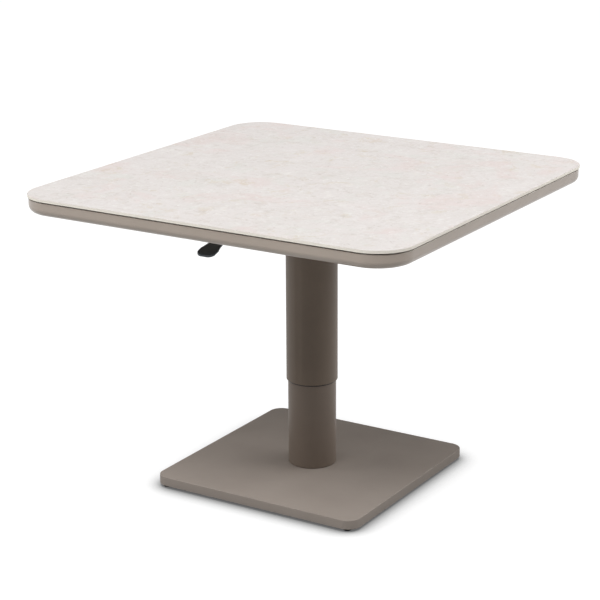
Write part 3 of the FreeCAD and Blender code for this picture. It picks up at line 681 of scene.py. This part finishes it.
# pieces whose CAD shape is right keep it and get their finish
cadFinishes = {
    "framePowderCoatPaintedLight": ["head_plate"],
    "blackPowderCoat": ["ballast_plate", "tube_foot_flange", "cylinder_base", "gas_cylinder", "lever_plate"],
    "zincPlatedSteel": ["base_washers", "stud_washer", "head_washers", "head_screws", "rivet_nuts",
                        "bearer_screws", "rod_lock_nut", "pivot_pin", "pivot_clips", "paddle_rivets",
                        "piston"],
    "hardChromedSteel": ["gas_rod", "release_pin"],
    "turnedBrass": ["gland"],
    "dieCastAluminium": ["release_head"],
    "mouldedRubber": ["rebound_buffer"],
    "closedCellFoam": ["slab_tape", "bearer_pads"],
    "mouldedAcetal": ["upper_guide", "lower_guide", "key_rail"],
}
for finish, names in cadFinishes.items():
    for name in names:
        for materialSlot in nodes[name].material_slots:
            materialSlot.link = "OBJECT"
            materialSlot.material = finishes[finish]
print("CAD pieces finished")


# stage, light and camera

def raysThatSee(tree):
    # 1 for a ray from the camera, in a reflection or through glass, 0 for light on its way to the table
    path = addNode(tree, "ShaderNodeLightPath")
    seen = path.outputs["Is Camera Ray"]
    for kind in ("Is Glossy Ray", "Is Transmission Ray"):
        seen = addNode(tree, "ShaderNodeMath", {"operation": "MAXIMUM"}, {0: seen, 1: path.outputs[kind]})
    return seen


def makeFloor():
    # the floor is seen near white with a painted soft contact shadow, and throws back less light than it
    # shows
    floor = {"half": 15.0, "colour": "#CCCCCC", "bounce": "#B6B6B6", "glow": 1.45, "glowShare": 0.68,
             "contactReach": 0.185, "contactDepth": 2.35, "darkest": 0.12, "contactSamples": 12}
    bpy.ops.mesh.primitive_plane_add(size=2 * floor["half"])
    plane = bpy.context.object
    plane.name = "studioFloor"
    material = bpy.data.materials.new("studioFloor")
    material.use_nodes = True
    tree = material.node_tree
    tree.nodes.clear()
    paint = addNode(tree, "ShaderNodeBsdfDiffuse", {"Color": hexColour(floor["colour"])})
    glow = addNode(tree, "ShaderNodeEmission", {"Strength": floor["glow"]})
    both = addNode(tree, "ShaderNodeMixShader", {"Fac": floor["glowShare"]}, {1: paint, 2: glow})
    bounce = addNode(tree, "ShaderNodeBsdfDiffuse", {"Color": hexColour(floor["bounce"])})
    near = addNode(tree, "ShaderNodeAmbientOcclusion", {"samples": floor["contactSamples"],
                                                        "Distance": floor["contactReach"]})
    deeper = addNode(tree, "ShaderNodeMath", {"operation": "POWER", 1: floor["contactDepth"]},
                     {0: near.outputs["AO"]})
    share = addNode(tree, "ShaderNodeMapRange", {"To Min": floor["darkest"]}, {"Value": deeper})
    # close to what stands on it the floor is darker, and lights it less: a painted contact shadow, drawn from
    # ambient occlusion
    seenWithPaintedShadow = addNode(tree, "ShaderNodeMixShader", links={"Fac": share, 2: both})
    bounceWithPaintedShade = addNode(tree, "ShaderNodeMixShader", links={"Fac": share, 2: bounce})
    lifted = addNode(tree, "ShaderNodeMixShader", links={"Fac": raysThatSee(tree), 1: bounceWithPaintedShade, 2: seenWithPaintedShadow})
    clear = addNode(tree, "ShaderNodeBsdfTransparent")
    below = addNode(tree, "ShaderNodeNewGeometry").outputs["Backfacing"]
    oneSided = addNode(tree, "ShaderNodeMixShader", links={"Fac": below, 1: lifted, 2: clear})
    addNode(tree, "ShaderNodeOutputMaterial", links={"Surface": oneSided})
    plane.data.materials.append(material)


def makeWorld():
    # white wherever it is seen, while the lamps alone light the table
    sky = {"colour": (1, 1, 1, 1), "light": 0.0, "seen": 1.0}
    world = bpy.data.worlds.new("studio")
    bpy.context.scene.world = world
    world.use_nodes = True
    tree = world.node_tree
    tree.nodes.clear()
    light = addNode(tree, "ShaderNodeBackground", {"Color": sky["colour"], "Strength": sky["light"]})
    white = addNode(tree, "ShaderNodeBackground", {"Color": sky["colour"], "Strength": sky["seen"]})
    mixed = addNode(tree, "ShaderNodeMixShader", links={"Fac": raysThatSee(tree), 1: light, 2: white})
    addNode(tree, "ShaderNodeOutputWorld", links={"Surface": mixed})


def makeLamps():
    lamps = {
        "overheadSoftbox": {"place": (0.8, -4.0, 9.2), "width": 7.0, "height": 3.5, "power": 432},
        "frontSoftbox": {"place": (0.8, -6.0, 7.6), "width": 7.0, "height": 3.0, "power": 372},
        "leftSoftbox": {"place": (-5.0, -2.3, 1.7), "width": 2.6, "height": 2.6, "power": 71},
        "rightSoftbox": {"place": (4.3, 2.2, 2.9), "width": 2.8, "height": 2.6, "power": 82},
        "backSoftbox": {"place": (2.6, 4.4, 2.2), "width": 2.8, "height": 2.6, "power": 71},
    }
    aim = Vector((0, 0, 0.4))      # what every lamp points at
    for name, lamp in lamps.items():
        data = bpy.data.lights.new(name, "AREA")
        data.shape = "RECTANGLE"
        data.size = lamp["width"]
        data.size_y = lamp["height"]
        data.energy = lamp["power"]
        holder = bpy.data.objects.new(name, data)
        bpy.context.scene.collection.objects.link(holder)
        holder.location = lamp["place"]
        holder.rotation_euler = (aim - holder.location).to_track_quat("-Z", "Y").to_euler()


def makeCamera():
    view = {"place": (2.0115, -3.2939, 1.5835), "azimuth": 31.794, "elevation": 17.046, "roll": -0.307,
            "lens": 111.26, "sensor": 36.0}
    data = bpy.data.cameras.new("camera")
    data.lens = view["lens"]
    data.sensor_width = view["sensor"]
    camera = bpy.data.objects.new("camera", data)
    bpy.context.scene.collection.objects.link(camera)
    turn = (Matrix.Rotation(math.radians(view["azimuth"]), 4, "Z")
            @ Matrix.Rotation(math.radians(90 - view["elevation"]), 4, "X")
            @ Matrix.Rotation(math.radians(view["roll"]), 4, "Z"))
    camera.matrix_world = Matrix.Translation(view["place"]) @ turn
    bpy.context.scene.camera = camera


makeFloor()
makeWorld()
makeLamps()
makeCamera()
bpy.context.scene.view_settings.view_transform = "Standard"
print("stage, lamps and camera made")
